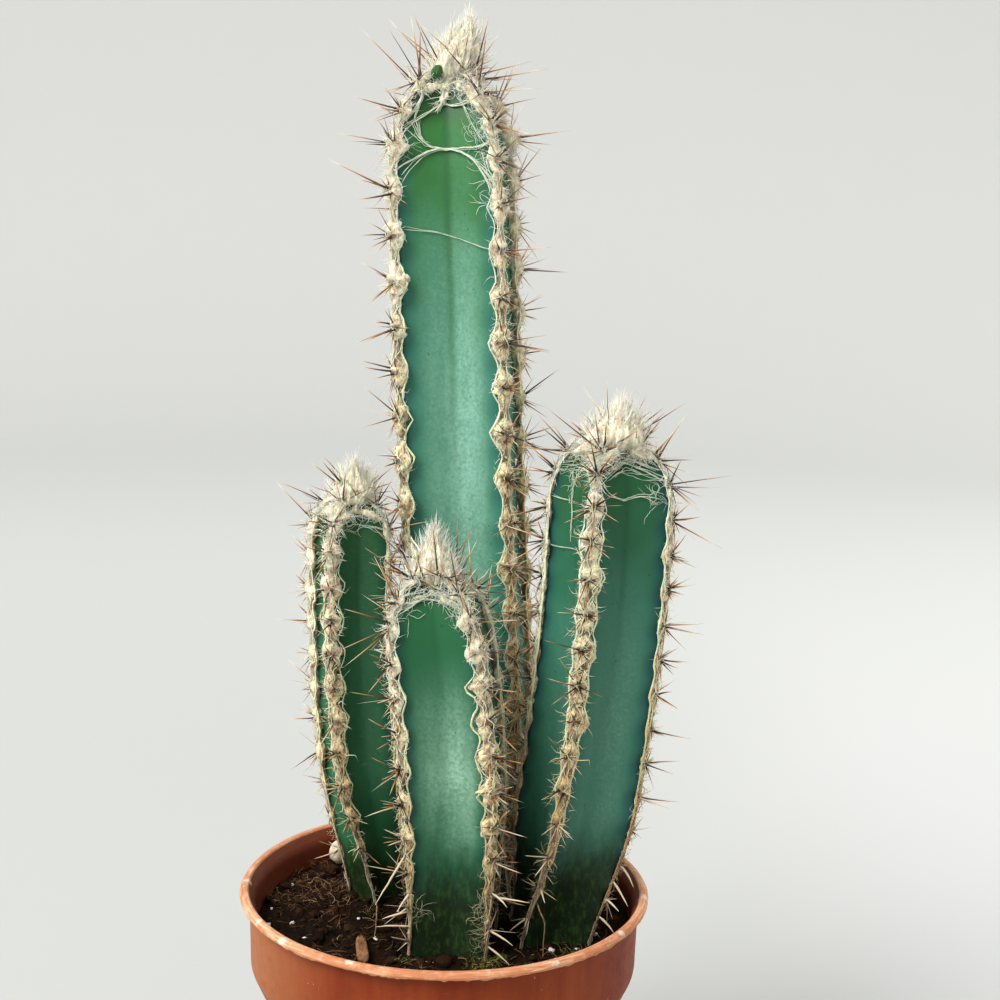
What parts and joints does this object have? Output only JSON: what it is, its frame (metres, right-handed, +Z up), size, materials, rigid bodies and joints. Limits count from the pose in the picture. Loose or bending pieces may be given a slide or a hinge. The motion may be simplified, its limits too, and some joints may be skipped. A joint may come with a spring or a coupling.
{
  "type": "potted columnar cactus",
  "caption": "Clump of upright ribbed cactus stems with woolly, spiny rib edges, standing in soil in a round tapered nursery pot with a rolled lip.",
  "frame": {"origin": "middle of the pot's flat base, on the surface that the pot stands on", "axes": "+Z up along the pot's axis; the picture is taken from the -Y side, with +X to the right"},
  "size_m": [0.116, 0.1099, 0.3185],
  "materials": {
    "pot_plastic": "satin moulded terracotta-coloured plastic",
    "potting_soil": "rough dark peat with fibres",
    "pebble_stone": "dull beige stone",
    "bark": "rough bark",
    "stem_skin_bright": "waxy blue-green skin with a pale bloom",
    "stem_skin_dark": "waxy dark blue-green skin",
    "stem_skin_bloomed": "waxy green skin with a pale bloom half way up",
    "wool_and_spines": "cream wool with brown and pale spines"
  },
  "bodies": {
    "root": {"pot": "pot_plastic", "soil": "potting_soil", "pebble": "pebble_stone", "bark_chip": "bark", "stem_tall": "stem_skin_bright", "stem_left": "stem_skin_dark", "stem_front": "stem_skin_bloomed", "stem_right": "stem_skin_dark", "wool_tall": "wool_and_spines", "wool_left": "wool_and_spines", "wool_front": "wool_and_spines", "wool_right": "wool_and_spines"}
  },
  "joints": []
}
